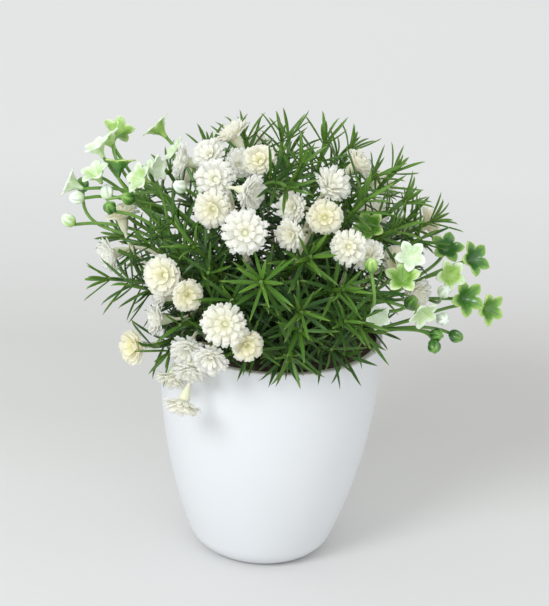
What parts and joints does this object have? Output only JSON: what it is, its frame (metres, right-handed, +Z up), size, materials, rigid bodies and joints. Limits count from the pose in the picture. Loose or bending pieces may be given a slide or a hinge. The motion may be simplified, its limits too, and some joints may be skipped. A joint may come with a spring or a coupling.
{
  "type": "artificial potted plant",
  "caption": "Small artificial plant in a plain white round pot: spiky leafy stems with double white blooms and green-and-white star flowers.",
  "frame": {"origin": "middle of the pot's flat base, on the surface it stands on", "axes": "+Z up along the pot's turned axis, -Y towards the front, +X to the right seen from the front"},
  "size_m": [0.2002, 0.1628, 0.208],
  "materials": {
    "pot": "smooth white plastic with a satin sheen",
    "filler": "dull grey-brown foam, rough on top",
    "leaf": "moulded green plastic leaves, softly glossy, yellow-green at the tips",
    "bloom": "soft white plastic petals with cream hearts, calyxes and stalks",
    "star": "green plastic flowers and buds shading to white"
  },
  "bodies": {
    "root": {"pot": "pot", "filler": "filler", "leafy_stem_01": "leaf", "leafy_stem_02": "leaf", "leafy_stem_03": "leaf", "leafy_stem_04": "leaf", "leafy_stem_05": "leaf", "leafy_stem_06": "leaf", "leafy_stem_07": "leaf", "leafy_stem_08": "leaf", "leafy_stem_09": "leaf", "leafy_stem_10": "leaf", "leafy_stem_11": "leaf", "leafy_stem_12": "leaf", "leafy_stem_13": "leaf", "leafy_stem_14": "leaf", "leafy_stem_15": "leaf", "leafy_stem_16": "leaf", "leafy_stem_17": "leaf", "leafy_stem_18": "leaf", "leafy_stem_19": "leaf", "leafy_stem_20": "leaf", "leafy_stem_21": "leaf", "leafy_stem_22": "leaf", "leafy_stem_23": "leaf", "leafy_stem_24": "leaf", "leafy_stem_25": "leaf", "leafy_stem_26": "leaf", "leafy_stem_27": "leaf", "leafy_stem_28": "leaf", "leafy_stem_29": "leaf", "leafy_stem_30": "leaf", "flower_spray_01": "bloom", "flower_spray_02": "bloom", "flower_spray_03": "bloom", "flower_spray_04": "bloom", "flower_spray_05": "bloom", "flower_spray_06": "bloom", "flower_spray_07": "bloom", "flower_spray_08": "bloom", "flower_spray_09": "bloom", "flower_spray_10": "bloom", "star_sprig_01": "star", "star_sprig_02": "star", "star_sprig_03": "star", "star_sprig_04": "star", "star_sprig_05": "star", "star_sprig_06": "star", "star_sprig_07": "star"}
  },
  "joints": []
}
